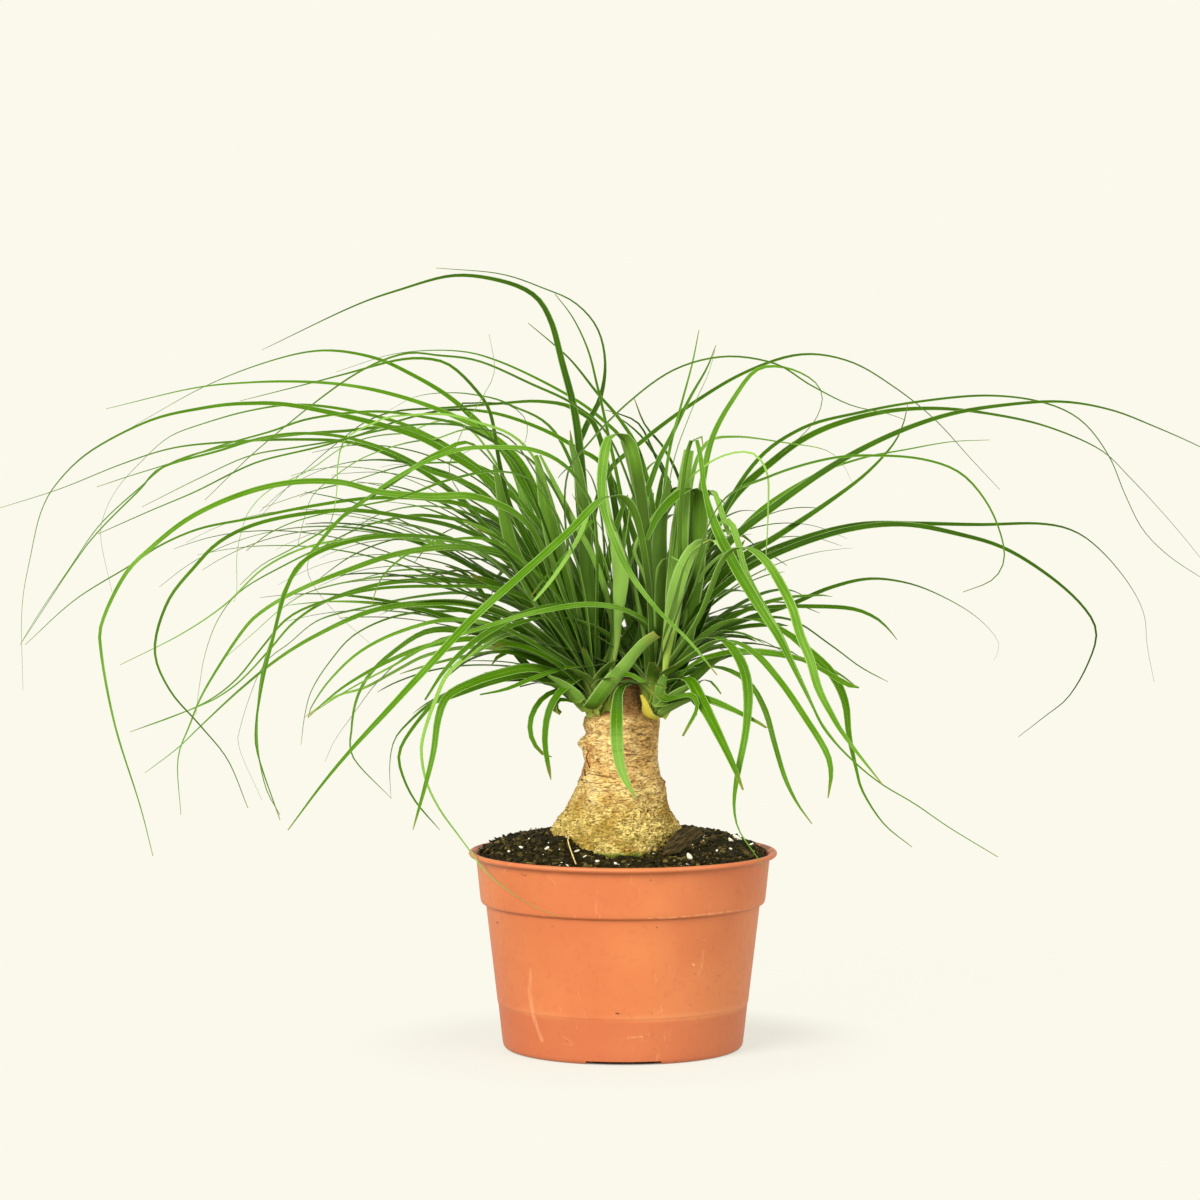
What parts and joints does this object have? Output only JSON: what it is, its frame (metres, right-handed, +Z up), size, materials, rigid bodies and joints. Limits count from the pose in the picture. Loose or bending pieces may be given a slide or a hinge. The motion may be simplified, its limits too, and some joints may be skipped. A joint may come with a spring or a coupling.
{
  "type": "potted ponytail palm",
  "caption": "Potted house plant: swollen corky trunk in a round plastic pot of soil, with leafy shoots on top and long arching strap leaves.",
  "frame": {"origin": "on the pot's axis, in the plane that the pot's foot ring stands on", "axes": "+Z up, +X to the right as the plant is seen from in front, +Y away from the viewer"},
  "size_m": [0.6627, 0.3955, 0.3925],
  "materials": {
    "pot_plastic": "semi-matte terracotta-coloured moulded plastic, lightly scuffed",
    "soil": "loose moist potting mix with white perlite",
    "trunk_bark": "dry corky bark, cracked across",
    "shoot": "smooth pale leaf bases",
    "leaf": "satin green blade with fine lengthwise veins",
    "dry_leaf": "yellowed, papery",
    "bark_chip": "rough dark bark"
  },
  "bodies": {
    "root": {"pot": "pot_plastic", "potting_soil": "soil", "trunk": "trunk_bark", "shoot_left": "shoot", "shoot_right": "shoot", "shoot_back_left": "shoot", "shoot_back_right": "shoot", "leaf_01": "leaf", "leaf_02": "leaf", "leaf_03": "leaf", "leaf_04": "leaf", "leaf_05": "leaf", "leaf_06": "leaf", "leaf_07": "leaf", "leaf_08": "leaf", "leaf_09": "leaf", "leaf_10": "leaf", "leaf_11": "leaf", "leaf_12": "leaf", "leaf_13": "leaf", "leaf_14": "leaf", "leaf_15": "leaf", "leaf_16": "leaf", "leaf_17": "leaf", "leaf_18": "leaf", "leaf_19": "leaf", "leaf_20": "leaf", "leaf_21": "leaf", "leaf_22": "leaf", "leaf_23": "leaf", "leaf_24": "leaf", "leaf_25": "leaf", "leaf_26": "leaf", "leaf_27": "leaf", "leaf_28": "leaf", "leaf_29": "leaf", "leaf_30": "leaf", "leaf_31": "leaf", "leaf_32": "leaf", "leaf_33": "leaf", "leaf_34": "leaf", "leaf_35": "leaf", "leaf_36": "leaf", "leaf_37": "leaf", "leaf_38": "leaf", "leaf_39": "leaf", "leaf_40": "leaf", "leaf_41": "leaf", "leaf_42": "leaf", "leaf_43": "leaf", "leaf_44": "leaf", "leaf_45": "leaf", "leaf_46": "leaf", "leaf_47": "leaf", "leaf_48": "leaf", "leaf_49": "leaf", "leaf_50": "leaf", "dry_leaf_base": "dry_leaf", "bark_chip": "bark_chip"}
  },
  "joints": []
}
